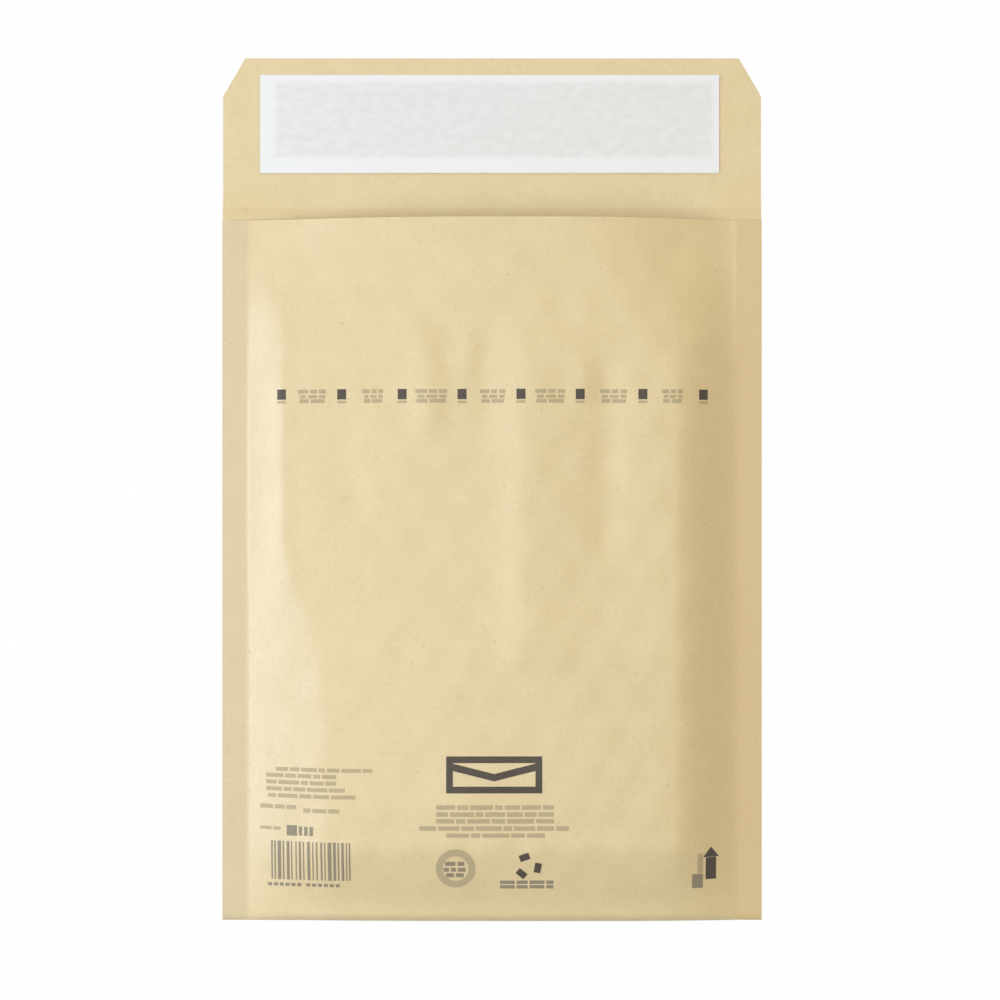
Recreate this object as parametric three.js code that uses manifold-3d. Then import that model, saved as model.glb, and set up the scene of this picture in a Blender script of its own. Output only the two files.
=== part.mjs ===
// Padded envelope: a kraft paper mailer with a bubble film lining, empty, on its back with its flap open.
// Millimetres, +Z up. X runs across the envelope, +Y towards the flap, and the back panel rests on Z = 0.
import * as THREE from "three";
import { mergeVertices } from "three/addons/utils/BufferGeometryUtils.js";
import Module from "manifold-3d";

const wasm = await Module();
wasm.setup();
const { clamp, degToRad, lerp, smoothstep } = THREE.MathUtils;

// Outline of the mailer
const width = 170;
const pocketLength = 220.5; // bottom fold to mouth
const flapLength = 51.5;
const flapCornerAcross = 7; // the flap's two corners are cut at a slant
const flapCornerAlong = 12;

// Sheets and how they lie on each other
const paperThickness = 0.2;
const filmThickness = 0.2;
const layerGap = 0.1; // between paper and film
const stripGap = 0.05; // under the adhesive and the release liner, which lie flat

// Side welds, where both films are one and nothing is padded
const weldWidth = 8;
const weldLift = 1.2; // how far the welds stand off the table
const liftRun = 17; // the back panel starts to rise this far inside a weld

// Bubbles, in staggered rows, all facing into the pocket
const bubblePitch = 14;
const bubbleHeight = 2.3;
const bubbleCrown = 0.25; // the middle of a bubble above its rim
const bubbleTopShare = 0.7; // its flat top, as a share of its foot
const bubbleClearance = 0.4; // at least this much air between facing bubbles
const leastBubble = 0.6; // flatter ones are crushed by the weld
const filmSetback = 3; // the lining ends this far inside the mouth

// The padded shape
const pocketGap = 6.7; // free height between facing bubbles
const foldThickness = 6.8; // at the bottom fold, in the middle
const foldRun = 26; // length over which the body gets its full thickness
const foldDepth = 3; // of the round turn at the bottom
const foldSteps = 3; // in each quarter turn
const mouthRun = 66; // length over which the section of the body becomes that of the mouth

// The section across: a shoulder beside each weld, and an arch that peaks right of the middle. The arch's
// part in the height is smaller in the body, larger at the fold, and all of it at the mouth.
const leftShoulder = [12, 25]; // it widens towards the bottom
const leftWidening = [96, 150]; // from the first distance below the mouth to the second
const leftSteepness = 1.3; // it is steepest at the weld
const rightShoulder = 20; // it is steepest halfway up
const archPower = [4, 3]; // in the body and at the mouth
const archPeak = [28, 10];
const bodyArch = 0.45;
const foldArch = 0.85;
const mouthSoftness = 1.5; // more than 1 makes the arch of the mouth start flat at the welds
const shoulderInset = 3.5; // the first line of points inside a weld

// Soft creases of the front panel: straight ridges and, where the height is negative, straight hollows. They
// run from one distance below the mouth to another, x is where they start and end across the panel, and
// spread is the width of the left and the right flank.
const creaseFade = 13; // length over which a crease rises and dies away
const creases = [
  { from: 36, to: 66, x: [-22, -19], spread: [6, 6], height: 1.3 },
  { from: 36, to: 56, x: [-8, -8], spread: [4.5, 4.5], height: 0.6 },
  { from: 42, to: 72, x: [-2, -3], spread: [5, 4], height: -0.4 },
  { from: 36, to: 138, x: [11, 10], spread: [7, 16], height: 1.6 },
  { from: 36, to: 58, x: [28, 28], spread: [4.5, 4.5], height: 0.5 },
  { from: 46, to: 104, x: [37, 36], spread: [6, 5], height: -0.7 },
  { from: 58, to: 100, x: [-48, -41], spread: [9, 6], height: -0.8 },
  { from: 128, to: 190, x: [6, 6], spread: [60, 42], height: 1.3 },
];

// Release liner over the hot-melt adhesive on the flap
const linerFromSide = 12.5;
const linerFromEnd = 5.3;
const linerLength = 31;
const linerThickness = 0.12;
const linerOffset = -0.8; // it lies a little left of the middle
const adhesiveInset = 3.5; // from every edge of the liner
const adhesiveThickness = 0.1;
const flapSettle = 10; // the flap lies flat this far past the mouth

// Places that follow from the sizes
const halfWidth = width / 2;
const weldLine = halfWidth - weldWidth;
const shoulderLine = weldLine - shoulderInset;
const restLine = weldLine - liftRun;
const bottomY = -(pocketLength + flapLength) / 2;
const mouthY = bottomY + pocketLength;
const flapY = mouthY + flapLength;
const foldY = bottomY + foldDepth;
const filmMouthY = mouthY - filmSetback;

// Depths below the paper's outer face
const filmOuter = paperThickness + layerGap;
const filmInner = filmOuter + filmThickness;
const weldThickness = 2 * filmInner;
const bodyThickness = weldThickness + 2 * bubbleHeight + pocketGap;

// Height of the back panel's outer face.
function backHeight(x, y) {
  const lifted = clamp((Math.abs(x) - restLine) / liftRun, 0, 1);
  const onFlap = clamp((y - mouthY) / flapSettle, 0, 1);
  return weldLift * lifted * (1 - onFlap);
}

// How far the soft creases raise the front panel.
function creaseHeight(x, y) {
  const below = mouthY - y;
  let sum = 0;
  for (const crease of creases) {
    const line = lerp(crease.x[0], crease.x[1], (below - crease.from) / (crease.to - crease.from));
    const rise = smoothstep(below, crease.from - creaseFade, crease.from + creaseFade);
    const fall = smoothstep(below, crease.to - creaseFade, crease.to + creaseFade);
    const flank = x > line ? crease.spread[1] : crease.spread[0];
    sum += crease.height * rise * (1 - fall) * Math.exp(-(((x - line) / flank) ** 2));
  }
  return sum;
}

// 0 at the bottom fold, 1 where the body has its full thickness.
const bodyShare = (y) => smoothstep(y, bottomY, bottomY + foldRun);

// The part of the full thickness that the section has at a place: 0 at the welds, 1 at the arch's peak.
function fullness(x, y) {
  const mouth = smoothstep(y, mouthY - mouthRun, mouthY);
  const archPart = lerp(lerp(foldArch, bodyArch, bodyShare(y)), 1, mouth);

  const inward = weldLine - Math.abs(x);
  const leftWidth = lerp(leftShoulder[0], leftShoulder[1], smoothstep(mouthY - y, ...leftWidening));
  const left = 1 - clamp(1 - inward / leftWidth, 0, 1) ** leftSteepness;
  const shoulder = x < 0 ? left : smoothstep(inward, 0, rightShoulder);

  const peak = lerp(...archPeak, mouth);
  const run = x < peak ? weldLine + peak : weldLine - peak;
  const outward = Math.min(Math.abs(x - peak) / run, 1);
  const arch = (1 - outward ** lerp(...archPower, mouth)) ** lerp(1, mouthSoftness, mouth);
  return lerp(shoulder, arch, archPart);
}

// Thickness of the whole envelope, from the back panel's outer face to the front panel's.
function thickness(x, y) {
  const middle = lerp(foldThickness, bodyThickness, bodyShare(y)) - weldThickness;
  return weldThickness + (middle + creaseHeight(x, y)) * fullness(x, y);
}

const onFront = (depth) => (x, y) => new THREE.Vector3(x, y, backHeight(x, y) + thickness(x, y) - depth);
const onBack = (depth) => (x, y) => new THREE.Vector3(x, y, backHeight(x, y) + depth);

// The round turn at the bottom, at an angle from 90 on the front panel to -90 on the back panel.
function onFold(depth, degrees) {
  const angle = degToRad(degrees);
  return (x) => {
    const half = thickness(x, foldY) / 2;
    const y = foldY - (foldDepth - depth) * Math.cos(angle);
    return new THREE.Vector3(x, y, backHeight(x, foldY) + half + (half - depth) * Math.sin(angle));
  };
}

// The lattice that every layer of the front shares. Bubbles stand on every second point of every second row.
const latticeStep = bubblePitch / 2;
const latticeRow = (bubblePitch * Math.sqrt(3)) / 4;
const rowCount = Math.floor((filmMouthY - foldY) / latticeRow - 0.4);
const rowY = (row) => filmMouthY - row * latticeRow;

function pocketAcross(row) {
  const shift = row % 2 ? latticeStep / 2 : 0;
  const reach = Math.ceil((shoulderLine - shift) / latticeStep - 0.2);
  const right = Array.from({ length: reach }, (_, i) => shift + i * latticeStep);
  const left = right.filter((x) => x > 0).map((x) => -x);
  return [-weldLine, -shoulderLine, ...left.reverse(), ...right, shoulderLine, weldLine];
}

const sheetAcross = (row) => [-halfWidth, ...pocketAcross(row), halfWidth];
const backAcross = [-halfWidth, -weldLine, -restLine, restLine, weldLine, halfWidth];

// A row of points across a sheet. Lattice rows carry their number.
function makeRow(across, y, place, row = undefined) {
  return across.map((x) => {
    const at = place(x, y);
    return { across: x, along: at.y - bottomY, row, at };
  });
}

// Triangles between two rows that run the same way, stepping on whichever row is behind. Level points are
// taken from the bottom fold up, so that sheets that lie on each other break into triangles alike.
function stitch(a, b, key, flip = false) {
  const isBehind = (p, q) => p[key] < q[key] || (p[key] === q[key] && p.at.y <= q.at.y);
  const triangles = [];
  let i = 0;
  let j = 0;
  while (i < a.length - 1 || j < b.length - 1) {
    const onA = j === b.length - 1 || (i < a.length - 1 && isBehind(a[i + 1], b[j + 1]));
    const third = onA ? a[i + 1] : b[j + 1];
    triangles.push(flip ? [a[i], b[j], third] : [a[i], third, b[j]]);
    if (onA) i += 1;
    else j += 1;
  }
  return triangles;
}

const fill = (rows, flip) => rows.slice(1).flatMap((row, i) => stitch(rows[i], row, "across", flip));

// A closed skin from two faces, each a list of rows, whose four borders are joined by narrow walls.
function closedSkin(upper, lower, upperTriangles = fill(upper, false), lowerTriangles = fill(lower, true)) {
  const left = (rows) => rows.map((row) => row[0]);
  const right = (rows) => rows.map((row) => row[row.length - 1]);
  return [
    ...upperTriangles,
    ...lowerTriangles,
    ...stitch(left(upper), left(lower), "along", false),
    ...stitch(right(upper), right(lower), "along", true),
    ...stitch(upper[0], lower[0], "across", true),
    ...stitch(upper[upper.length - 1], lower[lower.length - 1], "across", false),
  ];
}

// An indexed geometry from triangles of points, without the ones that have no area.
function geometryOf(triangles) {
  const positions = triangles.flat().flatMap((point) => point.at.toArray());
  const soup = new THREE.BufferGeometry();
  soup.setAttribute("position", new THREE.Float32BufferAttribute(positions, 3));
  const merged = mergeVertices(soup, 1e-4);
  const old = merged.index.array;
  const index = [];
  for (let i = 0; i < old.length; i += 3) {
    const [a, b, c] = [old[i], old[i + 1], old[i + 2]];
    if (a !== b && b !== c && c !== a) index.push(a, b, c);
  }
  merged.setIndex(index);
  return merged;
}

function manifoldOf(geometry) {
  const vertProperties = new Float32Array(geometry.attributes.position.array);
  const triVerts = new Uint32Array(geometry.index.array);
  return new wasm.Manifold(new wasm.Mesh({ numProp: 3, vertProperties, triVerts }));
}

function geometryOfManifold(manifold) {
  const mesh = manifold.getMesh();
  const geometry = new THREE.BufferGeometry();
  geometry.setAttribute("position", new THREE.BufferAttribute(mesh.vertProperties, 3));
  geometry.setIndex(new THREE.BufferAttribute(mesh.triVerts, 1));
  return geometry;
}

// Rows round half of the bottom fold, from its middle to the front panel (side 1) or the back panel (-1).
function foldRows(depth, side, across) {
  const steps = Array.from({ length: foldSteps + 1 }, (_, step) => step);
  return steps.map((step) => makeRow(across(0), foldY, onFold(depth, (side * 90 * step) / foldSteps)));
}

// Lattice rows from the bottom fold up to the last one asked for. Row 0 is the film's end at the mouth.
function latticeRows(across, place, last) {
  const numbers = Array.from({ length: rowCount - last + 1 }, (_, i) => rowCount - i);
  return numbers.map((row) => makeRow(across(row), rowY(row), place, row));
}

// Kraft paper: one sheet from the flap's end down the back, round the fold and up the front to the mouth.
function paperFace(depth) {
  const flapEnd = halfWidth - flapCornerAcross;
  const back = [
    ...foldRows(depth, -1, sheetAcross),
    makeRow(backAcross, mouthY, onBack(depth)),
    makeRow(backAcross, mouthY + flapSettle, onBack(depth)),
    makeRow(backAcross, flapY - flapCornerAlong, onBack(depth)),
    makeRow(backAcross.map((x) => clamp(x, -flapEnd, flapEnd)), flapY, onBack(depth)),
  ];
  const downTheBack = back.reverse().map((row) => row.map((point) => ({ ...point, along: -point.along })));
  return [
    ...downTheBack,
    ...foldRows(depth, 1, sheetAcross).slice(1),
    ...latticeRows(sheetAcross, onFront(depth), 0),
    makeRow(sheetAcross(0), mouthY, onFront(depth)),
  ];
}

// Height of the bubble that stands on a lattice point: as high as fits between the two films, or none.
function bubbleOn(point) {
  const { across, row, at } = point;
  const column = Math.round(across / latticeStep);
  const onPattern = row > 0 && row < rowCount && row % 2 === 0 && (column + row / 2) % 2 === 0;
  if (!onPattern || Math.abs(across) + latticeStep > shoulderLine) return 0;
  const outerRim = across + Math.sign(across) * latticeStep * bubbleTopShare;
  const room = thickness(outerRim, at.y) - weldThickness;
  const height = Math.min(bubbleHeight, (room - bubbleClearance) / 2);
  return height > leastBubble ? height : 0;
}

// A face whose bubbles stand out from the lattice, upwards (1) or downwards (-1). Each triangle round the
// middle of a bubble becomes one piece of its side and one of its top.
function raiseBubbles(triangles, direction, place) {
  const raise = (at, height) => ({ at: at.clone().add(new THREE.Vector3(0, 0, direction * height)) });
  return triangles.flatMap((triangle) => {
    const k = triangle.findIndex((point) => bubbleOn(point) > 0);
    if (k < 0) return [triangle];
    const [middle, a, b] = [triangle[k], triangle[(k + 1) % 3], triangle[(k + 2) % 3]];
    const height = bubbleOn(middle);
    const [rimA, rimB] = [a, b].map((foot) => {
      const flat = middle.at.clone().lerp(foot.at, bubbleTopShare);
      return raise(place(flat.x, flat.y), height);
    });
    const crown = raise(middle.at, height + bubbleCrown);
    return [
      [a, b, rimA],
      [rimA, b, rimB],
      [rimA, rimB, crown],
    ];
  });
}

// Bubble film lining: a bag of film welded at both sides, with the pocket cut out of it past its open end.
function liningGeometry() {
  const bagFront = [
    ...foldRows(filmOuter, 1, sheetAcross),
    ...latticeRows(sheetAcross, onFront(filmOuter), 0),
  ];
  const bagBack = [
    ...foldRows(filmOuter, -1, sheetAcross),
    makeRow(backAcross, filmMouthY, onBack(filmOuter)),
  ];
  const pocketFront = [
    ...foldRows(filmInner, 1, pocketAcross),
    ...latticeRows(pocketAcross, onFront(filmInner), -1),
  ];
  const pocketBack = [
    ...foldRows(filmInner, -1, pocketAcross),
    ...latticeRows(pocketAcross, onBack(filmInner), -1),
  ];
  const pocketSkin = closedSkin(
    pocketFront,
    pocketBack,
    raiseBubbles(fill(pocketFront, false), -1, onFront(filmInner)),
    raiseBubbles(fill(pocketBack, true), 1, onBack(filmInner)),
  );
  const bag = manifoldOf(geometryOf(closedSkin(bagFront, bagBack)));
  return geometryOfManifold(bag.subtract(manifoldOf(geometryOf(pocketSkin))));
}

// A flat strip on the flap's inner face, in from the liner's edges.
function stripMesh(name, inset, thick, baseZ, material) {
  const across = width - 2 * (linerFromSide + inset);
  const along = linerLength - 2 * inset;
  const mesh = new THREE.Mesh(new THREE.BoxGeometry(across, along, thick), material);
  mesh.name = name;
  mesh.position.set(linerOffset, flapY - linerFromEnd - linerLength / 2, baseZ + thick / 2);
  return mesh;
}

const kraft = new THREE.MeshStandardMaterial({ color: 0xd2b27a, roughness: 0.75, metalness: 0 });
const clearFilm = new THREE.MeshStandardMaterial({ color: 0xe4e6e2, roughness: 0.3, metalness: 0 });
const hotMelt = new THREE.MeshStandardMaterial({ color: 0xd9d2b4, roughness: 0.4, metalness: 0 });
const siliconePaper = new THREE.MeshStandardMaterial({ color: 0xf2f3f2, roughness: 0.5, metalness: 0 });

const envelope = new THREE.Group();

const kraftSheet = new THREE.Mesh(geometryOf(closedSkin(paperFace(0), paperFace(paperThickness))), kraft);
kraftSheet.name = "kraft_sheet";
envelope.add(kraftSheet);

const bubbleLining = new THREE.Mesh(liningGeometry(), clearFilm);
bubbleLining.name = "bubble_lining";
envelope.add(bubbleLining);

const adhesiveZ = paperThickness + stripGap;
const linerZ = adhesiveZ + adhesiveThickness + stripGap;
envelope.add(stripMesh("adhesive_band", adhesiveInset, adhesiveThickness, adhesiveZ, hotMelt));
envelope.add(stripMesh("release_liner", 0, linerThickness, linerZ, siliconePaper));

export default envelope;
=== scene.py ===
# The looks of an empty kraft bubble mailer, seen from straight above.
import math

import bmesh
import bpy
from mathutils import Matrix, Vector, noise


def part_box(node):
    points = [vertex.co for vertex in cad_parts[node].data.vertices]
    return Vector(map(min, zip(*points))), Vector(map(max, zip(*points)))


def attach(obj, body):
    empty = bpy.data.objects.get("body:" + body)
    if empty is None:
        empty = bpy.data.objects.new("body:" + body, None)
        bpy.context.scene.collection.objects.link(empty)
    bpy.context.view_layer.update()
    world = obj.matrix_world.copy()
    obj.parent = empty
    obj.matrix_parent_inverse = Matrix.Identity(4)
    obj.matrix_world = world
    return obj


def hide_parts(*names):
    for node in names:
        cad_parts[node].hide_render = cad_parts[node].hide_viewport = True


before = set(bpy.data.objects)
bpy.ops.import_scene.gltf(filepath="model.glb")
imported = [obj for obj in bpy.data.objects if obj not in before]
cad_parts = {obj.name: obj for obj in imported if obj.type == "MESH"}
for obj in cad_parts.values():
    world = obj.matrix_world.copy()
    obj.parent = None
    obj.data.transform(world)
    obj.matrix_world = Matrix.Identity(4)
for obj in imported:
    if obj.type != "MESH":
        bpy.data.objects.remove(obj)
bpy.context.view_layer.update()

MM = 0.001

# Outline and places, from the frame
sheet_low, sheet_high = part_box("kraft_sheet")
_, film_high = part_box("bubble_lining")
liner_low, liner_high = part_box("release_liner")
HALF_WIDTH = sheet_high[0]
BOTTOM_Y = sheet_low[1]
FLAP_Y = sheet_high[1]
FILM_SETBACK = 3 * MM
FILM_MOUTH_Y = film_high[1]
MOUTH_Y = FILM_MOUTH_Y + FILM_SETBACK

# Sheets and how they lie on each other
PAPER = 0.2 * MM
FILM = 0.2 * MM
LAYER_GAP = 0.1 * MM
FILM_OUTER = PAPER + LAYER_GAP
FILM_INNER = FILM_OUTER + FILM
WELD_THICKNESS = 2 * FILM_INNER
FLAP_CORNER_ACROSS = 7 * MM
FLAP_CORNER_ALONG = 12 * MM

# Side welds, how far their tint runs out past the paper's edge, and the lift of the back panel towards them
WELD_WIDTH = 8 * MM
WELD_BEYOND = 10 * MM
WELD_EDGE = 1.2 * MM
WELD_LINE = HALF_WIDTH - WELD_WIDTH
WELD_LIFT = 1.2 * MM
LIFT_RUN = 17 * MM
FLAP_SETTLE = 10 * MM

# Painted shade in a band along the score that the flap folds along, above the mouth
SCORE_SHADE_RISE = 2.7 * MM
SCORE_SHADE_WIDTH = 2.8 * MM
SCORE_SHADE_EDGE = 0.8 * MM

# The bubbles: their lattice, their size, and how far they stay from the welds, the fold and each other
BUBBLE_PITCH = 14 * MM
BUBBLE_ROW = BUBBLE_PITCH * math.sqrt(3) / 2
BUBBLE_WIDTH = 0.88 * BUBBLE_PITCH
BUBBLE_HEIGHT = 2.3 * MM
BUBBLE_CLEARANCE = 0.4 * MM
LEAST_BUBBLE = 0.6 * MM
BUBBLE_RIM = 0.35 * BUBBLE_PITCH
WELD_CLEARANCE = 3.5 * MM
FREE_ROWS = 0.7

# The padded shape
POCKET_GAP = 6.7 * MM
BODY_THICKNESS = WELD_THICKNESS + 2 * BUBBLE_HEIGHT + POCKET_GAP
FOLD_THICKNESS = 6.8 * MM
FOLD_RUN = 26 * MM
FOLD_DEPTH = 3 * MM
FOLD_Y = BOTTOM_Y + FOLD_DEPTH
MOUTH_RUN = 66 * MM

# The section across: a shoulder beside each weld, and an arch that peaks right of the middle. The left
# shoulder is steepest at the weld and the right one halfway up. The arch's part in the height is smaller in
# the body, larger at the fold, and all of it at the mouth.
LEFT_SHOULDER = (12 * MM, 25 * MM)
LEFT_WIDENING = (96 * MM, 150 * MM)
LEFT_STEEPNESS = 1.3
RIGHT_SHOULDER = 20 * MM
ARCH_POWER = (4, 3)
ARCH_PEAK = (28 * MM, 10 * MM)
BODY_ARCH = 0.45
FOLD_ARCH = 0.85
MOUTH_SOFTNESS = 1.5

# Soft creases of the front panel, in millimetres: ridges and, where the height is negative, hollows. They
# run from one distance below the mouth to another, x is where they start and end across the panel, and
# spread is the width of the left and the right flank.
CREASE_FADE = 13
CREASES = [
    dict(start=36, end=66, x=(-22, -19), spread=(6, 6), height=1.3),
    dict(start=36, end=56, x=(-8, -8), spread=(4.5, 4.5), height=0.6),
    dict(start=42, end=72, x=(-2, -3), spread=(5, 4), height=-0.4),
    dict(start=36, end=138, x=(11, 10), spread=(7, 16), height=1.6),
    dict(start=36, end=58, x=(28, 28), spread=(4.5, 4.5), height=0.5),
    dict(start=46, end=104, x=(37, 36), spread=(6, 5), height=-0.7),
    dict(start=58, end=100, x=(-48, -41), spread=(9, 6), height=-0.8),
    dict(start=128, end=190, x=(6, 6), spread=(60, 42), height=1.3),
]

# What shows of the bubbles through the paper, the paper's own small waves, and where both fade at the edges
BUBBLE_RELIEF = 0.05 * MM
WAVE_HEIGHT = 0.3 * MM
WAVE_LENGTH = 24 * MM
RELIEF_START = 2 * MM
RELIEF_MARGIN = 14 * MM

# The field of the liner that sticks to the adhesive, and the ripple along the liner's edges
STUCK_LOW = Vector((liner_low[0] + 4.7 * MM, liner_low[1] + 5.1 * MM, 0))
STUCK_HIGH = Vector((liner_high[0] - 2.2 * MM, liner_high[1] - 2.3 * MM, 0))
STUCK_EDGE = 1.6 * MM
RIPPLE_HEIGHT = 0.25 * MM
RIPPLE_LENGTH = 19 * MM

# Print: how far it stands above and reaches into the paper, and in millimetres the size of its cells, which
# are small enough to follow the paper, and the gap between dashes
INK_RISE = 0.04 * MM
INK_SINK = 0.03 * MM
INK_CELL = 0.8
DASH_GAP = 0.6


def smoothstep(value, low, high):
    t = min(max((value - low) / (high - low), 0), 1)
    return t * t * (3 - 2 * t)


def mix(a, b, t):
    return a + (b - a) * t


# Form of the envelope


def back_height(x, y):
    """Height of the back panel's outer face."""
    lifted = min(max((abs(x) - WELD_LINE + LIFT_RUN) / LIFT_RUN, 0), 1)
    on_flap = min(max((y - MOUTH_Y) / FLAP_SETTLE, 0), 1)
    return WELD_LIFT * lifted * (1 - on_flap)


def crease_height(x, y):
    """How far the soft creases raise the front panel."""
    across = x / MM
    below = (MOUTH_Y - y) / MM
    total = 0
    for crease in CREASES:
        start, end = crease["start"], crease["end"]
        line = mix(*crease["x"], (below - start) / (end - start))
        rise = smoothstep(below, start - CREASE_FADE, start + CREASE_FADE)
        fall = smoothstep(below, end - CREASE_FADE, end + CREASE_FADE)
        flank = crease["spread"][across > line]
        total += crease["height"] * rise * (1 - fall) * math.exp(-(((across - line) / flank) ** 2))
    return total * MM


def fullness(x, y):
    """The share of the full thickness that a place has: 0 at the welds, 1 at the arch's peak."""
    mouth = smoothstep(y, MOUTH_Y - MOUTH_RUN, MOUTH_Y)
    body = smoothstep(y, BOTTOM_Y, BOTTOM_Y + FOLD_RUN)
    arch_part = mix(mix(FOLD_ARCH, BODY_ARCH, body), 1, mouth)

    inward = WELD_LINE - abs(x)
    if x < 0:
        width = mix(*LEFT_SHOULDER, smoothstep(MOUTH_Y - y, *LEFT_WIDENING))
        shoulder = 1 - min(max(1 - inward / width, 0), 1) ** LEFT_STEEPNESS
    else:
        shoulder = smoothstep(inward, 0, RIGHT_SHOULDER)

    peak = mix(*ARCH_PEAK, mouth)
    run = WELD_LINE + (peak if x < peak else -peak)
    outward = min(abs(x - peak) / run, 1)
    arch = (1 - outward ** mix(*ARCH_POWER, mouth)) ** mix(1, MOUTH_SOFTNESS, mouth)
    return mix(shoulder, arch, arch_part)


def thickness(x, y):
    """Thickness of the whole envelope, from the back panel's outer face to the front panel's."""
    body = smoothstep(y, BOTTOM_Y, BOTTOM_Y + FOLD_RUN)
    middle = mix(FOLD_THICKNESS, BODY_THICKNESS, body) - WELD_THICKNESS
    return WELD_THICKNESS + (middle + crease_height(x, y)) * fullness(x, y)


def relief(x, y):
    """How far the bubbles and small waves raise the front panel above its plain form."""
    inside = smoothstep(WELD_LINE - abs(x), RELIEF_START, RELIEF_MARGIN)
    inside *= smoothstep(y, FOLD_Y, FOLD_Y + RELIEF_MARGIN)
    inside *= 1 - smoothstep(y, MOUTH_Y - RELIEF_MARGIN, MOUTH_Y - RELIEF_START)
    across = 2 * math.pi * x / BUBBLE_PITCH
    along = math.pi * (FILM_MOUTH_Y - y) / BUBBLE_ROW
    bubbles = math.cos(across - along) + math.cos(across + along) + math.cos(2 * along)
    waves = noise.noise(Vector((x, y * 0.5, 0)) / WAVE_LENGTH)
    return inside * (BUBBLE_RELIEF * bubbles + WAVE_HEIGHT * waves)


def front_height(x, y):
    """Height of the front panel's outer face."""
    return back_height(x, y) + thickness(x, y) + relief(x, y)


def on_fold(x, depth, angle):
    """A point of the turn at the bottom, whose angle runs from -pi / 2 at the back to pi / 2 in front."""
    half = thickness(x, FOLD_Y) / 2
    y = FOLD_Y - (FOLD_DEPTH - depth) * math.cos(angle)
    return Vector((x, y, back_height(x, FOLD_Y) + half + (half - depth) * math.sin(angle)))


# Mesh helpers


def new_piece(name, bm, material):
    """Turns a bmesh into a smooth object that rides on the envelope."""
    mesh = bpy.data.meshes.new(name)
    bm.to_mesh(mesh)
    bm.free()
    piece = bpy.data.objects.new(name, mesh)
    bpy.context.scene.collection.objects.link(piece)
    mesh.materials.append(material)
    mesh.polygons.foreach_set("use_smooth", [True] * len(mesh.polygons))
    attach(piece, "root")
    return piece


def thicken(piece, thick, sharp_from=50):
    """Gives a sheet its thickness, inwards from the face that it was modelled on."""
    solidify = piece.modifiers.new("thickness", "SOLIDIFY")
    solidify.thickness = thick
    solidify.offset = -1
    solidify.use_even_offset = True
    depsgraph = bpy.context.evaluated_depsgraph_get()
    mesh = bpy.data.meshes.new_from_object(piece.evaluated_get(depsgraph))
    piece.modifiers.clear()
    piece.data = mesh
    mesh.set_sharp_from_angle(angle=math.radians(sharp_from))


def folded_sheet(columns, back_rows, fold_rows, front_rows, end_y, front_y, depth):
    """A grid folded round the bottom: down the back from end_y, round the turn, up the front to front_y."""
    rows = back_rows + fold_rows + front_rows
    bm = bmesh.new()
    bmesh.ops.create_grid(bm, x_segments=columns, y_segments=rows, size=0.5)
    for vert in bm.verts:
        x = vert.co.x * 2 * HALF_WIDTH
        row = (vert.co.y + 0.5) * rows
        if row <= back_rows:
            y = mix(end_y, FOLD_Y, row / back_rows)
            vert.co = (x, y, back_height(x, y) + depth)
        elif row < back_rows + fold_rows:
            turn = (row - back_rows) / fold_rows
            vert.co = on_fold(x, depth, math.pi * (turn - 0.5))
        else:
            y = mix(FOLD_Y, front_y, (row - back_rows - fold_rows) / front_rows)
            vert.co = (x, y, front_height(x, y) - depth)
    return bm


# Materials


def add_node(tree, kind, inputs=None, **settings):
    """A shader node with its settings, and a value or a link for each input that is named."""
    node = tree.nodes.new(kind)
    for name, value in settings.items():
        setattr(node, name, value)
    for name, value in (inputs or {}).items():
        if isinstance(value, bpy.types.NodeSocket):
            tree.links.new(value, node.inputs[name])
        else:
            node.inputs[name].default_value = value
    return node


def add_noise(tree, place, size, detail=2.0, turn=0):
    """Noise from 0 to 1. Its grains have a size in millimetres along each axis, and a turn in degrees."""
    grain = {"Vector": place, "Scale": Vector(size) * MM, "Rotation": (0, 0, math.radians(turn))}
    grain = add_node(tree, "ShaderNodeMapping", grain, vector_type="TEXTURE").outputs[0]
    inputs = {"Vector": grain, "Scale": 1.0, "Detail": detail}
    return add_node(tree, "ShaderNodeTexNoise", inputs).outputs["Fac"]


def fitted(tree, value, low, high, to_low=0.0, to_high=1.0):
    """A value mapped from one range to another, and held inside it."""
    ends = {"Value": value, "From Min": low, "From Max": high, "To Min": to_low, "To Max": to_high}
    return add_node(tree, "ShaderNodeMapRange", ends).outputs[0]


def combine(tree, first, second, operation="ADD"):
    """Two values, each written out or a link, added up or joined by another operation."""
    return add_node(tree, "ShaderNodeMath", {0: first, 1: second}, operation=operation).outputs[0]


def blend(tree, share, first, second):
    """Two colours, each written out or a link, mixed by a share."""
    colours = [value if isinstance(value, bpy.types.NodeSocket) else (*value, 1) for value in (first, second)]
    inputs = {"Fac": share, "Color1": colours[0], "Color2": colours[1]}
    return add_node(tree, "ShaderNodeMixRGB", inputs).outputs[0]


def tinted(tree, colour, mask, share, tint):
    """A colour that takes on a share of a tint where the mask is 1."""
    return blend(tree, combine(tree, mask, share, "MULTIPLY"), colour, tint)


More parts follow.
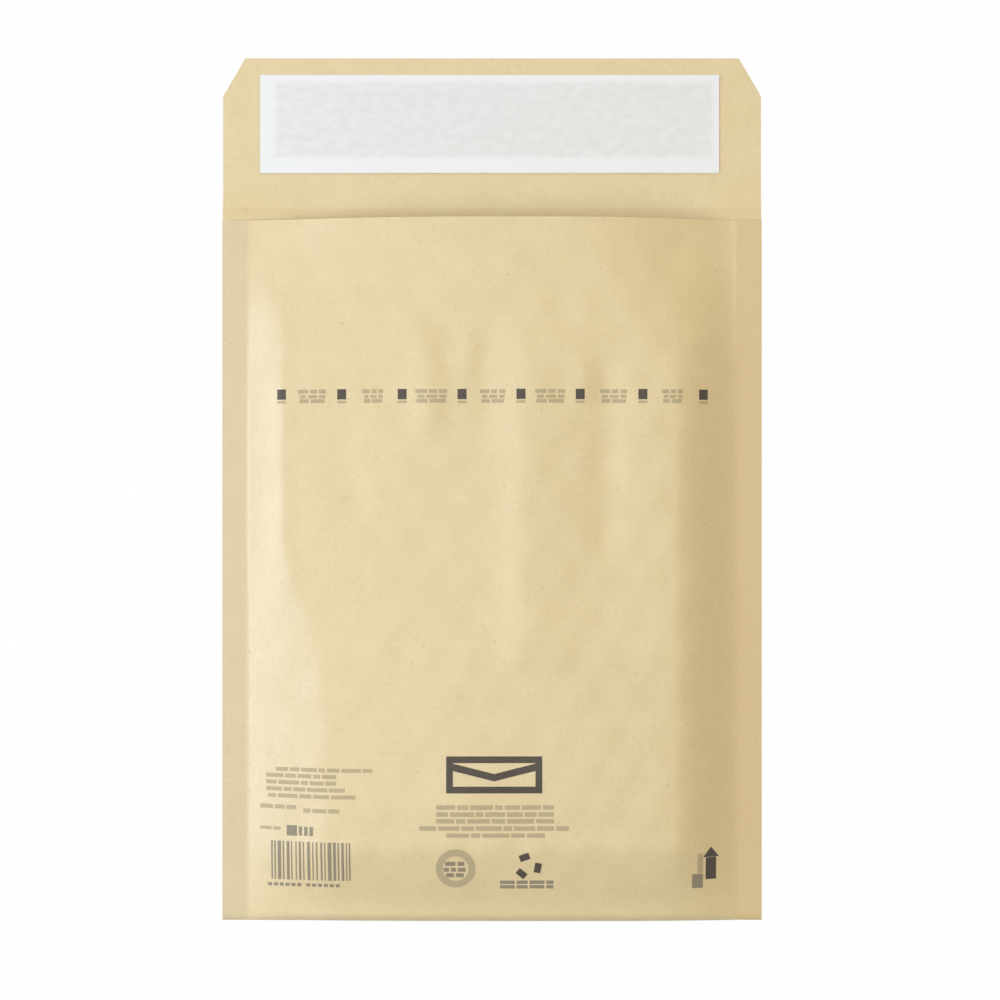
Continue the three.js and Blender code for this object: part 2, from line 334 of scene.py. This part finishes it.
def make_fibre_group():
    """Felted paper fibres: a tone and a height from 0 to 1, and sparse dark flecks."""
    group = bpy.data.node_groups.new("paper_fibres", "ShaderNodeTree")
    group.interface.new_socket("Vector", in_out="INPUT", socket_type="NodeSocketVector")
    for name in ("Tone", "Fleck", "Height"):
        group.interface.new_socket(name, in_out="OUTPUT", socket_type="NodeSocketFloat")
    place = add_node(group, "NodeGroupInput").outputs["Vector"]
    felt = add_noise(group, place, (3.0, 0.5, 1.0), turn=8)
    for turn in (55, 118):
        strands = add_noise(group, place, (2.4, 0.45, 1.0), turn=turn)
        felt = combine(group, felt, strands, "MAXIMUM")
    felt = fitted(group, felt, 0.45, 0.8)
    cloud = add_noise(group, place, (11, 11, 11), detail=4.0)
    tone = combine(group, combine(group, felt, cloud), 0.5, "MULTIPLY")
    fleck = fitted(group, add_noise(group, place, (1.5, 1.5, 1.5), detail=1.0), 0.7, 0.78)
    outputs = {"Tone": tone, "Fleck": fleck, "Height": felt}
    add_node(group, "NodeGroupOutput", outputs)
    return group


def make_zone_group():
    """A soft-edged rectangle about a middle: 1 inside, 0 outside."""
    group = bpy.data.node_groups.new("soft_zone", "ShaderNodeTree")
    for name in ("Vector", "Middle", "Half Size"):
        group.interface.new_socket(name, in_out="INPUT", socket_type="NodeSocketVector")
    group.interface.new_socket("Edge", in_out="INPUT", socket_type="NodeSocketFloat")
    group.interface.new_socket("Zone", in_out="OUTPUT", socket_type="NodeSocketFloat")
    given = add_node(group, "NodeGroupInput").outputs
    apart = {0: given["Vector"], 1: given["Middle"]}
    reach = add_node(group, "ShaderNodeVectorMath", apart, operation="SUBTRACT").outputs[0]
    reach = add_node(group, "ShaderNodeVectorMath", {0: reach}, operation="ABSOLUTE").outputs[0]
    past = {0: reach, 1: given["Half Size"]}
    past = add_node(group, "ShaderNodeVectorMath", past, operation="SUBTRACT").outputs[0]
    past = add_node(group, "ShaderNodeSeparateXYZ", {0: past}).outputs
    distance = combine(group, past["X"], past["Y"], "MAXIMUM")
    inward = combine(group, distance, given["Edge"], "DIVIDE")
    add_node(group, "NodeGroupOutput", {"Zone": fitted(group, inward, 0.5, -0.5)})
    return group


fibre_group = make_fibre_group()
zone_group = make_zone_group()


def add_group(tree, group, inputs):
    """A node group placed in a material."""
    return add_node(tree, "ShaderNodeGroup", inputs, node_tree=group).outputs


def zone(tree, place, middle, half_size, edge):
    """The mask of a soft-edged rectangle."""
    inputs = {"Vector": place, "Middle": middle, "Half Size": half_size, "Edge": edge}
    return add_group(tree, zone_group, inputs)["Zone"]


def new_material(name, constants):
    """A material with its shader's plain values set, its node tree, its shader and Object coordinates."""
    material = bpy.data.materials.new(name)
    material.use_nodes = True
    tree = material.node_tree
    shader = tree.nodes["Principled BSDF"]
    for socket, value in constants.items():
        shader.inputs[socket].default_value = value
    return material, tree, shader, add_node(tree, "ShaderNodeTexCoord").outputs["Object"]


def finish_shader(tree, shader, colour, roughness, height, strength, distance):
    """Links the colour, the roughness and a bump to the shader."""
    bump = add_node(tree, "ShaderNodeBump", {"Height": height, "Strength": strength, "Distance": distance})
    tree.links.new(colour, shader.inputs["Base Color"])
    tree.links.new(roughness, shader.inputs["Roughness"])
    tree.links.new(bump.outputs[0], shader.inputs["Normal"])


def make_kraft():
    """Machine-finished kraft: felted fibres in warm browns, a soft sheen, tinted welds with painted shade on
    the right one, and a band of painted shade along the flap's score.
    """
    sheen = {"IOR": 1.65, "Specular IOR Level": 1.0}
    material, tree, shader, place = new_material("kraft_paper", sheen)
    fibres = add_group(tree, fibre_group, {"Vector": place})
    colour = blend(tree, fibres["Tone"], (0.671, 0.505, 0.237), (0.805, 0.645, 0.343))

    # Welds tinted darker: the left a little, towards grey; the right strongly, which is mostly painted shade
    # for the raised padded body's shadow on it.
    greyish, pressed_and_shade = (0.49, 0.405, 0.245), (0.61, 0.43, 0.165)
    weld_middle = HALF_WIDTH - WELD_WIDTH / 2 + WELD_BEYOND
    weld_half = (WELD_WIDTH / 2 + WELD_BEYOND, MOUTH_Y - BOTTOM_Y, 0)
    for side, share, tint in ((-1, 0.3, greyish), (1, 0.8, pressed_and_shade)):
        weld = zone(tree, place, (side * weld_middle, BOTTOM_Y, 0), weld_half, WELD_EDGE)
        colour = tinted(tree, colour, weld, share, tint)
    # Painted shade: a darker band along the flap's score just above the mouth, standing in for the shade at
    # the mouth's edge and in the crease.
    score_shade = zone(tree, place, (0, MOUTH_Y + SCORE_SHADE_RISE, 0), (1, SCORE_SHADE_WIDTH / 2, 0), SCORE_SHADE_EDGE)
    colour = tinted(tree, colour, score_shade, 0.3, pressed_and_shade)
    colour = tinted(tree, colour, fibres["Fleck"], 0.25, (0.38, 0.26, 0.12))

    roughness = fitted(tree, fibres["Tone"], 0, 1, 0.56, 0.46)
    finish_shader(tree, shader, colour, roughness, fibres["Height"], strength=0.2, distance=0.06 * MM)
    return material


def make_film():
    """Thin clear polyethylene with a milky cast and small wrinkles."""
    material, tree, shader, place = new_material("bubble_film", {"Transmission Weight": 0.35})
    wrinkles = add_noise(tree, place, (4, 3, 4), detail=3.0)
    cast = blend(tree, wrinkles, (0.92, 0.93, 0.93), (0.96, 0.97, 0.97))
    roughness = fitted(tree, wrinkles, 0.3, 0.7, 0.16, 0.34)
    finish_shader(tree, shader, cast, roughness, wrinkles, strength=0.25, distance=0.15 * MM)
    return material


def make_hot_melt():
    """Hot-melt adhesive, laid on in lengthwise streaks."""
    material, tree, shader, place = new_material("hot_melt", {"Coat Weight": 0.3})
    streaks = add_noise(tree, place, (25, 1.1, 1.1), detail=3.0)
    colour = blend(tree, streaks, (0.60, 0.53, 0.36), (0.78, 0.72, 0.55))
    roughness = fitted(tree, streaks, 0.3, 0.7, 0.2, 0.4)
    finish_shader(tree, shader, colour, roughness, streaks, strength=0.4, distance=0.1 * MM)
    return material


def make_release_paper():
    """White siliconised paper, greyer and mottled where it sticks to the adhesive below."""
    material, tree, shader, place = new_material("release_paper", {})
    blots = add_noise(tree, place, (3, 3, 3), detail=3.0)
    stray = fitted(tree, blots, 0.3, 0.7, -0.3 * MM, 0.3 * MM)
    moved = add_node(tree, "ShaderNodeVectorMath", {0: place, 1: stray}, operation="ADD").outputs[0]
    middle, half = (STUCK_LOW + STUCK_HIGH) / 2, (STUCK_HIGH - STUCK_LOW) / 2
    stuck = zone(tree, moved, middle, half, STUCK_EDGE)
    mottle = fitted(tree, add_noise(tree, place, (3.5, 2.2, 3), detail=4.0), 0.3, 0.7)
    grey = blend(tree, mottle, (0.86, 0.855, 0.835), (0.92, 0.915, 0.90))
    white = blend(tree, mottle, (0.95, 0.955, 0.955), (0.96, 0.965, 0.965))
    colour = blend(tree, stuck, white, grey)
    roughness = fitted(tree, stuck, 0, 1, 0.42, 0.58)
    finish_shader(tree, shader, colour, roughness, mottle, strength=0.25, distance=0.05 * MM)
    return material


def make_ink(name, full, worn):
    """Flexographic print, a little thinner where the fibres stand up."""
    material, tree, shader, place = new_material(name, {"Specular IOR Level": 0.5})
    fibres = add_group(tree, fibre_group, {"Vector": place})
    colour = blend(tree, fibres["Tone"], full, worn)
    roughness = fitted(tree, fibres["Tone"], 0, 1, 0.6, 0.48)
    finish_shader(tree, shader, colour, roughness, fibres["Height"], strength=0.2, distance=0.06 * MM)
    return material


kraft = make_kraft()
film_plastic = make_film()
hot_melt = make_hot_melt()
release_paper = make_release_paper()
dark_ink = make_ink("dark_ink", (0.035, 0.026, 0.018), (0.085, 0.065, 0.045))
grey_ink = make_ink("grey_ink", (0.26, 0.215, 0.145), (0.36, 0.30, 0.20))
pale_ink = make_ink("pale_ink", (0.48, 0.39, 0.225), (0.59, 0.48, 0.275))


# Kraft sheet


def make_kraft_sheet():
    rows = dict(back_rows=60, fold_rows=10, front_rows=184)
    bm = folded_sheet(columns=170, **rows, end_y=FLAP_Y, front_y=MOUTH_Y, depth=0)
    for side in (-1, 1):
        corner = Vector((side * HALF_WIDTH, FLAP_Y - FLAP_CORNER_ALONG, 0))
        outward = Vector((side * FLAP_CORNER_ALONG, FLAP_CORNER_ACROSS, 0))
        everything = bm.verts[:] + bm.edges[:] + bm.faces[:]
        bmesh.ops.bisect_plane(bm, geom=everything, plane_co=corner, plane_no=outward, clear_outer=True)
    piece = new_piece("kraft_sheet_folded", bm, kraft)
    thicken(piece, PAPER)
    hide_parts("kraft_sheet")


# Bubble film lining


def bubble_places():
    """The middle and height of each bubble, on the lattice that the front and back films share."""
    places = []
    rows = int((FILM_MOUTH_Y - FOLD_Y) / BUBBLE_ROW - FREE_ROWS)
    for row in range(1, rows + 1):
        y = FILM_MOUTH_Y - row * BUBBLE_ROW
        shift = BUBBLE_PITCH / 2 if row % 2 else 0
        for column in range(-6, 7):
            x = column * BUBBLE_PITCH + shift
            if abs(x) + BUBBLE_PITCH / 2 > WELD_LINE - WELD_CLEARANCE:
                continue
            rim = x + math.copysign(BUBBLE_RIM, x)
            height = min(BUBBLE_HEIGHT, (thickness(rim, y) - WELD_THICKNESS - BUBBLE_CLEARANCE) / 2)
            if height > LEAST_BUBBLE:
                places.append((x, y, height))
    return places


def bubble_mesh():
    """One bubble, 1 wide and 1 high, spun from its section and closed below."""
    bm = bmesh.new()
    outline = ((0, -0.05), (0.5, -0.05), (0.47, 0.5), (0.36, 0.92), (0, 1.08))
    section = [bm.verts.new((radius, 0, up)) for radius, up in outline]
    edges = [bm.edges.new(pair) for pair in zip(section, section[1:])]
    turn = dict(cent=(0, 0, 0), axis=(0, 0, 1), angle=2 * math.pi, steps=12, use_merge=True)
    bmesh.ops.spin(bm, geom=section + edges, **turn)
    bmesh.ops.remove_doubles(bm, verts=bm.verts, dist=1e-4)
    bmesh.ops.recalc_face_normals(bm, faces=bm.faces)
    mesh = bpy.data.meshes.new("bubble")
    bm.to_mesh(mesh)
    bm.free()
    return mesh


def make_bubbles():
    """A bubble on the front film and one on the back film at each place, both facing into the pocket."""
    bubble = bubble_mesh()
    bm = bmesh.new()
    for x0, y0, height in bubble_places():
        for front in (True, False):
            first = len(bm.verts)
            bm.from_mesh(bubble)
            bm.verts.ensure_lookup_table()
            for vert in bm.verts[first:]:
                x, y = x0 + vert.co.x * BUBBLE_WIDTH, y0 + vert.co.y * BUBBLE_WIDTH
                up = vert.co.z * height
                if front:
                    vert.co = (x, y, front_height(x, y) - FILM_INNER - up)
                else:
                    vert.co = (x, y, back_height(x, y) + FILM_INNER + up)
    bmesh.ops.recalc_face_normals(bm, faces=bm.faces)
    new_piece("bubbles", bm, film_plastic)


def make_bubble_lining():
    rows = dict(back_rows=70, fold_rows=10, front_rows=104)
    bm = folded_sheet(columns=85, **rows, end_y=FILM_MOUTH_Y, front_y=FILM_MOUTH_Y, depth=FILM_OUTER)
    piece = new_piece("bubble_lining_film", bm, film_plastic)
    thicken(piece, FILM)
    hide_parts("bubble_lining")
    make_bubbles()


# Release liner, over the adhesive band that the frame brings


def make_release_liner():
    """A strip of paper that ripples a little along its edges."""
    middle = (Vector(liner_low) + Vector(liner_high)) / 2
    size = Vector(liner_high) - Vector(liner_low)
    bm = bmesh.new()
    bmesh.ops.create_grid(bm, x_segments=96, y_segments=16, size=0.5)
    for vert in bm.verts:
        x, y = middle.x + vert.co.x * size.x, middle.y + vert.co.y * size.y
        ripple = 0.5 + 0.5 * noise.noise(Vector((x / RIPPLE_LENGTH, vert.co.y * 2, 0)))
        vert.co = (x, y, liner_high[2] + RIPPLE_HEIGHT * smoothstep(abs(vert.co.y), 0.3, 0.5) * ripple)
    piece = new_piece("release_liner_strip", bm, release_paper)
    thicken(piece, size.z)
    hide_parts("release_liner")


# Print on the front panel, in millimetres


def add_block(bm, x, y, width, height, turn=0, rise=0):
    """A filled block about its middle, in cells that follow the paper. A rise lifts its right end."""
    shape = Matrix(((width, 0, 0, 0), (rise, height, 0, 0), (0, 0, 1, 0), (0, 0, 0, 1)))
    place = Matrix.Translation((x, y, 0)) @ Matrix.Rotation(math.radians(turn), 4, "Z") @ shape
    cells = [math.ceil(side / INK_CELL) for side in (width, height)]
    bmesh.ops.create_grid(bm, x_segments=cells[0], y_segments=cells[1], size=0.5, matrix=place)


def add_arrowhead(bm, x, low, width, height):
    """A filled triangle that points up, in faces small enough to follow the paper."""
    shape = Matrix.Diagonal((width / math.sqrt(3), height / 1.5, 1, 1))
    place = Matrix.Translation((x, low + height / 3, 0)) @ shape
    corners = bmesh.ops.create_circle(bm, cap_ends=True, segments=3, radius=1, matrix=place)["verts"]
    edges = {edge for vert in corners for edge in vert.link_edges}
    bmesh.ops.subdivide_edges(bm, edges=list(edges), cuts=3, use_grid_fill=True)


def add_ring(bm, x, y, outer, inner):
    place = Matrix.Translation((x, y, 0))
    edges = []
    for radius in (outer, inner):
        rim = bmesh.ops.create_circle(bm, cap_ends=False, segments=40, radius=radius, matrix=place)["verts"]
        edges += {edge for vert in rim for edge in vert.link_edges}
    bmesh.ops.bridge_loops(bm, edges=edges)


def add_dashes(bm, left, right, y, height, shares):
    """A line of dashes, whose widths are shares of the line."""
    room = right - left - DASH_GAP * (len(shares) - 1)
    x = left
    for share in shares:
        width = room * share / sum(shares)
        add_block(bm, x + width / 2, y, width, height)
        x += width + DASH_GAP


def print_piece(name, bm, ink):
    """Lays a flat drawing on the front panel as one thin closed piece."""
    bm.normal_update()
    bmesh.ops.reverse_faces(bm, faces=[face for face in bm.faces if face.normal.z < 0])
    for vert in bm.verts:
        x, y = vert.co.x * MM, vert.co.y * MM
        vert.co = (x, y, front_height(x, y) + INK_RISE)
    piece = new_piece(name, bm, ink)
    thicken(piece, INK_RISE + INK_SINK, sharp_from=30)


def print_guide_row():
    """A row of small squares right across the panel, with three short lines between each two."""
    y = 28.8
    squares, lines = bmesh.new(), bmesh.new()
    for x in (-65.7, -46.8, -27.9, -9.3, 9.0, 27.4, 46.9, 66.1):
        add_block(squares, x, y + 0.5, 2.8, 3.2)
        add_block(lines, x, y - 1.9, 2.8, 0.8)
    starts = (-60.5, -40.3, -23.8, -3.7, 13.4, 33.6, 52.8)
    ends = (-51.8, -33.8, -13.9, 4.1, 22.7, 42.0, 59.4)
    for left, right in zip(starts, ends):
        add_dashes(lines, left, right, y + 1.4, 1.2, (3, 2, 2))
        add_dashes(lines, left + 0.6, right - 0.2, y - 0.2, 1.0, (2, 3, 2))
        add_dashes(lines, left + 0.4, right - 0.4, y - 1.6, 1.2, (2, 3))
    print_piece("guide_squares", squares, dark_ink)
    print_piece("guide_lines", lines, pale_ink)


def print_left_block():
    """Small lines, a short bold mark and a block of upright bars in the bottom left corner."""
    lines = bmesh.new()
    add_dashes(lines, -67.8, -37.2, -87.8, 1.2, (4, 3, 5, 2, 4, 6, 3))
    add_dashes(lines, -70.9, -48.5, -89.8, 1.2, (5, 3, 4, 2, 4))
    add_dashes(lines, -70.9, -48.5, -91.9, 1.2, (3, 6, 2, 4, 3))
    add_dashes(lines, -70.9, -45.7, -94.0, 1.2, (4, 2, 3, 5, 4))
    add_dashes(lines, -70.3, -42.5, -96.1, 1.2, (2, 5, 3, 4, 6))
    add_dashes(lines, -72.9, -61.2, -99.6, 1.3, (4, 3, 3))
    add_dashes(lines, -58.9, -47.5, -100.5, 1.3, (2, 4, 3))
    add_dashes(lines, -72.9, -66.2, -106.4, 1.0, (3, 2))
    print_piece("small_lines", lines, pale_ink)

    mark = bmesh.new()
    add_block(mark, -62.6, -106.9, 3.3, 3.3)
    add_dashes(mark, -60.4, -55.8, -107.0, 2.8, (1, 1, 1))
    print_piece("short_bold_mark", mark, grey_ink)

    bars = bmesh.new()
    # in tenths of a millimetre
    widths = (5, 5, 11, 5, 9, 4, 4, 7, 4, 9, 4, 5, 6, 4, 12, 9, 5, 8, 4, 5)
    gaps = (5, 6, 5, 8, 5, 10, 7, 6, 10, 7, 8, 9, 6, 7, 5, 5, 7, 6, 5, 0)
    x = -69.3
    for width, gap in zip(widths, gaps):
        add_block(bars, x + width / 20, -116.45, width / 10, 12.3)
        x += (width + gap) / 10
    for left in (-70.4, -58.2):
        add_dashes(bars, left, left + 10.6, -124.2, 1.0, (1, 1, 1, 1, 1, 1))
    print_piece("upright_bars", bars, grey_ink)


def print_middle_block():
    """A bold envelope sign, a block of small lines and two small signs below it."""
    sign = bmesh.new()
    left, right, low, high, thick = -14.2, 15.6, -94.6, -83.1, 2.1
    middle = (left + right) / 2
    for y in (low + thick / 2, high - thick / 2):
        add_block(sign, middle, y, right - left, thick)
    for x in (left + thick / 2, right - thick / 2):
        add_block(sign, x, (low + high) / 2, thick, high - low - 2 * thick)
    half = (right - left) / 2 - thick
    for side in (-1, 1):
        add_block(sign, middle + side * half / 2, -88.1, half, 2.3, rise=side * 3.2)
    print_piece("envelope_sign", sign, dark_ink)

    lines = bmesh.new()
    add_dashes(lines, -17.3, 19.3, -99.0, 1.4, (5, 3, 6, 2, 4, 5, 3))
    add_dashes(lines, -17.3, 19.3, -101.2, 1.4, (3, 6, 2, 5, 4, 3, 4))
    add_dashes(lines, -17.3, 19.3, -103.3, 1.4, (4, 2, 5, 3, 6, 4))
    add_dashes(lines, -22.6, 23.9, -105.6, 1.4, (4, 5, 3, 6, 2, 5, 4, 3))
    add_dashes(lines, -14.2, 16.5, -107.8, 1.3, (5, 2, 6, 3, 4))
    add_ring(lines, -11.3, -118.3, 6.2, 4.0)
    print_piece("middle_lines", lines, pale_ink)

    badge = bmesh.new()
    add_dashes(badge, -14.6, -8.6, -116.8, 1.3, (3, 2))
    add_dashes(badge, -15.0, -8.2, -118.7, 1.3, (2, 2, 3))
    add_dashes(badge, -14.3, -8.8, -120.5, 1.3, (1, 1))
    for y in (-122.8, -124.3):
        add_dashes(badge, 2.5, 19.2, y, 1.1, (4, 3, 4, 2))
    print_piece("small_signs", badge, grey_ink)

    bars = bmesh.new()
    for turn in (110, -10, 230):
        angle = math.radians(turn)
        x, y = 11.2 + 3.1 * math.cos(angle), -117.6 + 3.1 * math.sin(angle)
        add_block(bars, x, y, 3.2, 2.1, turn=turn + 90)
    print_piece("three_bar_sign", bars, dark_ink)


def print_right_sign():
    """An upright arrow beside a short block."""
    arrow = bmesh.new()
    add_block(arrow, 68.6, -118.9, 3.4, 7.0)
    add_arrowhead(arrow, 68.6, low=-115.3, width=5.2, height=3.2)
    print_piece("upright_arrow", arrow, dark_ink)
    block = bmesh.new()
    add_block(block, 64.3, -122.8, 3.5, 4.5)
    print_piece("arrow_base", block, grey_ink)
    line = bmesh.new()
    add_block(line, 65.1, -117.2, 1.8, 6.2)
    print_piece("arrow_side_line", line, pale_ink)


make_kraft_sheet()
make_bubble_lining()
make_release_liner()
bpy.data.objects["adhesive_band"].material_slots[0].material = hot_melt
print_guide_row()
print_left_block()
print_middle_block()
print_right_sign()


# Studio: a white floor that glows for the camera and lights the object as plain white paper would, a plain
# level of light all round, and a camera straight above

FLOOR_SIZE = 6.0
FLOOR_DROP = 0.1 * MM
FLOOR_WHITE = (0.92, 0.92, 0.92, 1)
FLOOR_GLOW = 0.975
ROOM_LIGHT = 0.2
CAMERA_HEIGHT = 0.70
CAMERA_X = 2.5 * MM
CAMERA_Y = -3.6 * MM
SENSOR_WIDTH = 36
FOCAL_LENGTH = 79.7


def background_rays(tree):
    """1 for the rays that see the white background as it is, 0 for the ones that light the object."""
    path = add_node(tree, "ShaderNodeLightPath").outputs
    seen = combine(tree, path["Is Camera Ray"], path["Is Glossy Ray"], "MAXIMUM")
    return combine(tree, seen, path["Is Transmission Ray"], "MAXIMUM")


def make_floor():
    """A white floor, a hair below the paper, that keeps a trace of the object's shadow."""
    bm = bmesh.new()
    place = Matrix.Translation((0, 0, -FLOOR_DROP))
    bmesh.ops.create_grid(bm, x_segments=1, y_segments=1, size=FLOOR_SIZE / 2, matrix=place)
    mesh = bpy.data.meshes.new("floor")
    bm.to_mesh(mesh)
    bm.free()
    floor = bpy.data.objects.new("floor", mesh)
    bpy.context.scene.collection.objects.link(floor)
    matt = {"Base Color": FLOOR_WHITE, "Roughness": 0.9, "Specular IOR Level": 0}
    material, tree, shader, _ = new_material("white_floor", matt)
    glow = add_node(tree, "ShaderNodeEmission", {"Strength": 1.0}).outputs[0]
    share = fitted(tree, background_rays(tree), 0, 1, 0, FLOOR_GLOW)
    both = add_node(tree, "ShaderNodeMixShader", {0: share, 1: shader.outputs[0], 2: glow}).outputs[0]
    tree.links.new(both, tree.nodes["Material Output"].inputs["Surface"])
    mesh.materials.append(material)


def add_softbox(name, location, size, energy, colour=(1, 1, 1)):
    """A square lamp that looks at the middle of the object."""
    data = bpy.data.lights.new(name, "AREA")
    data.size = size
    data.energy = energy
    data.color = colour
    lamp = bpy.data.objects.new(name, data)
    bpy.context.scene.collection.objects.link(lamp)
    lamp.location = location
    lamp.rotation_euler = (-lamp.location).to_track_quat("-Z", "Y").to_euler()


def make_lights():
    """Soft light all round, a cool softbox low on the left, a warm one far to the right, two from above."""
    world = bpy.data.worlds.new("studio")
    bpy.context.scene.world = world
    world.use_nodes = True
    tree = world.node_tree
    background = tree.nodes["Background"]
    background.inputs["Color"].default_value = (1, 1, 1, 1)
    strength = fitted(tree, background_rays(tree), 0, 1, ROOM_LIGHT, 1.0)
    tree.links.new(strength, background.inputs["Strength"])
    add_softbox("key", (-1.04, 0, 0.60), size=0.68, energy=7.4, colour=(0.84, 0.98, 1.18))
    add_softbox("overhead", (-0.05, 0.15, 1.60), size=1.3, energy=7.8)
    add_softbox("front", (-0.93, -0.93, 1.88), size=1.3, energy=6.8)
    add_softbox("fill", (1.84, 1.84, 1.50), size=1.7, energy=17, colour=(1.25, 1, 0.45))


def make_camera():
    data = bpy.data.cameras.new("camera")
    data.sensor_width = SENSOR_WIDTH
    data.lens = FOCAL_LENGTH
    camera = bpy.data.objects.new("camera", data)
    bpy.context.scene.collection.objects.link(camera)
    camera.location = (CAMERA_X, CAMERA_Y, CAMERA_HEIGHT)
    bpy.context.scene.camera = camera


make_floor()
make_lights()
make_camera()
bpy.context.scene.view_settings.view_transform = "Standard"
